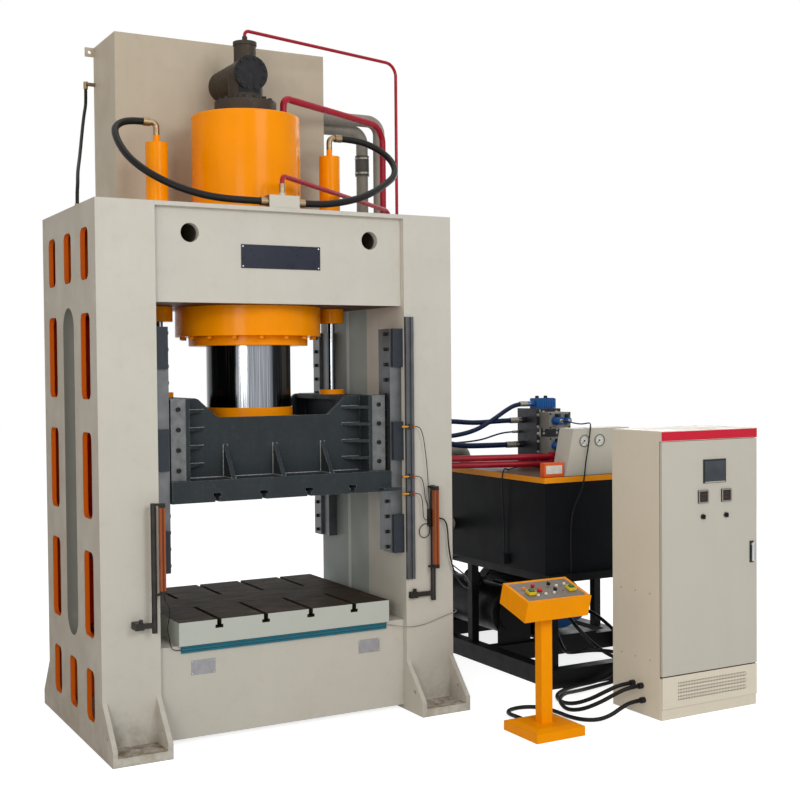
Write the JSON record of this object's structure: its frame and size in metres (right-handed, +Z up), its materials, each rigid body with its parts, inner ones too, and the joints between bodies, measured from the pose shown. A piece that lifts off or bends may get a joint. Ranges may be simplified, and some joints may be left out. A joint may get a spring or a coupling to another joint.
{
  "type": "hydraulic press with power unit, control cabinet and console",
  "caption": "Straight-side hydraulic press with a slide on rails, an oil tank behind the crown, a power unit, a control cabinet and a push-button console",
  "frame": {"origin": "on the floor at the centre of the press's anchor-bolt rectangle, which is also the axis of the main cylinder", "axes": "+X to the operator's right, +Y to the rear, +Z up along the plunger"},
  "size_m": [4.372, 3.191, 4.4099],
  "materials": {
    "frame_paint": "satin warm grey machine paint",
    "machined_steel": "ground steel with a light oil film",
    "dark_steel": "blackened steel",
    "chrome": "ground hard chrome",
    "charcoal_paint": "semi-gloss charcoal paint",
    "slate_paint": "satin slate paint",
    "orange_paint": "gloss orange paint",
    "red_paint": "gloss red paint",
    "teal_paint": "satin teal paint",
    "blue_paint": "gloss blue paint",
    "cabinet_paint": "textured beige powder coat",
    "curtain_orange": "satin orange extrusion",
    "brass": "nickel-free brass",
    "black_rubber": "matt hose cover",
    "black_plastic": "moulded black",
    "green_plastic": "glossy green cap",
    "red_plastic": "glossy red cap"
  },
  "bodies": {
    "frame": {"left_upright": "frame_paint", "right_upright": "frame_paint", "crown": "frame_paint", "bed": "frame_paint", "upper_tank": "frame_paint", "suction_pipes": "frame_paint", "sensor_rail": "frame_paint", "bolster_plate": "machined_steel", "hose_fittings": "machined_steel", "guide_rails": "machined_steel", "light_curtain_stands": "machined_steel", "pressure_gauges": "machined_steel", "prefill_valve_body": "dark_steel", "socket_screws": "dark_steel", "rail_clamp_blocks": "dark_steel", "valve_manifold": "dark_steel", "console_panel": "dark_steel", "power_base": "charcoal_paint", "power_tank": "charcoal_paint", "power_tank_lid": "charcoal_paint", "drive_motor": "charcoal_paint", "oil_cooler": "charcoal_paint", "main_cylinder": "orange_paint", "gland_ring": "orange_paint", "return_cylinders": "orange_paint", "control_pedestal": "orange_paint", "pressure_pipes": "red_paint", "cable_duct": "teal_paint", "main_pump": "blue_paint", "control_valves": "blue_paint", "cabinet_shell": "cabinet_paint", "gauge_panel": "cabinet_paint", "light_curtains": "curtain_orange", "proximity_sensors": "brass", "return_hoses": "black_rubber", "tank_level_hose": "black_rubber", "supply_hoses": "black_rubber", "signal_wires": "black_rubber", "floor_cables": "black_rubber", "switchgear_plate": "black_plastic"},
    "slide": {"slide_body": "slate_paint", "guide_shoes": "machined_steel", "plunger": "chrome", "return_rods": "chrome", "clamp_discs": "orange_paint"},
    "poppet": {"prefill_poppet": "machined_steel"},
    "coupling": {"motor_coupling": "dark_steel"},
    "left_needle": {"left_gauge_needle": "dark_steel"},
    "right_needle": {"right_gauge_needle": "dark_steel"},
    "door": {"cabinet_door": "cabinet_paint", "door_instruments": "black_plastic"},
    "handle": {"door_handle": "chrome"},
    "left_selector": {"left_door_selector": "black_plastic"},
    "right_selector": {"right_door_selector": "black_plastic"},
    "left_start": {"left_start_button": "green_plastic"},
    "right_start": {"right_start_button": "green_plastic"},
    "e_stop": {"emergency_stop": "red_plastic"},
    "stop": {"stop_button": "red_plastic"},
    "mode": {"mode_selector": "black_plastic"},
    "stroke": {"stroke_selector": "black_plastic"}
  },
  "joints": [
    {"name": "slide_stroke", "type": "slide", "parent": "frame", "child": "slide", "axis": [0, 0, 1], "range_m": [-0.5, 0.3]},
    {"name": "poppet_lift", "type": "slide", "parent": "frame", "child": "poppet", "axis": [0, 0, -1], "range_m": [0, 0.04], "stiffness_N_per_m": 8000, "springref_m": -0.02},
    {"name": "coupling_spin", "type": "hinge", "parent": "frame", "child": "coupling", "pos_m": [2.68, 0.415, 0.37], "axis": [0, 1, 0], "continuous": true},
    {"name": "left_needle_swing", "type": "hinge", "parent": "frame", "child": "left_needle", "pos_m": [2.291, -0.567, 1.684], "axis": [0, 1, 0], "range_deg": [0, 270], "stiffness_Nm_per_rad": 0.0005, "springref_deg": -11.46},
    {"name": "right_needle_swing", "type": "hinge", "parent": "frame", "child": "right_needle", "pos_m": [2.424, -0.567, 1.684], "axis": [0, 1, 0], "range_deg": [0, 270], "stiffness_Nm_per_rad": 0.0005, "springref_deg": -11.46},
    {"name": "door_hinge", "type": "hinge", "parent": "frame", "child": "door", "pos_m": [2.056, -1.65, 1], "axis": [0, 0, 1], "range_deg": [-115, 0]},
    {"name": "handle_turn", "type": "hinge", "parent": "door", "child": "handle", "pos_m": [2.799, -1.666, 1.05], "axis": [0, 1, 0], "range_deg": [0, 90]},
    {"name": "left_selector_turn", "type": "hinge", "parent": "door", "child": "left_selector", "pos_m": [2.386, -1.66, 1.253], "axis": [0, 1, 0], "range_deg": [-45, 45]},
    {"name": "right_selector_turn", "type": "hinge", "parent": "door", "child": "right_selector", "pos_m": [2.58, -1.66, 1.253], "axis": [0, 1, 0], "range_deg": [-45, 45]},
    {"name": "left_start_press", "type": "slide", "parent": "frame", "child": "left_start", "axis": [0, 0.2807, -0.9598], "range_m": [0, 0.005], "stiffness_N_per_m": 300, "springref_m": -0.006},
    {"name": "right_start_press", "type": "slide", "parent": "frame", "child": "right_start", "axis": [0, 0.2807, -0.9598], "range_m": [0, 0.005], "stiffness_N_per_m": 300, "springref_m": -0.006},
    {"name": "e_stop_press", "type": "slide", "parent": "frame", "child": "e_stop", "axis": [0, 0.2807, -0.9598], "range_m": [0, 0.005], "stiffness_N_per_m": 300, "springref_m": -0.006},
    {"name": "stop_press", "type": "slide", "parent": "frame", "child": "stop", "axis": [0, 0.2807, -0.9598], "range_m": [0, 0.004], "stiffness_N_per_m": 300, "springref_m": -0.006},
    {"name": "mode_turn", "type": "hinge", "parent": "frame", "child": "mode", "pos_m": [1.3325, -1.45621, 0.88844], "axis": [0, -0.2807, 0.9598], "range_deg": [-60, 60]},
    {"name": "stroke_turn", "type": "hinge", "parent": "frame", "child": "stroke", "pos_m": [1.3285, -1.53012, 0.86682], "axis": [0, -0.2807, 0.9598], "range_deg": [-60, 60]}
  ]
}
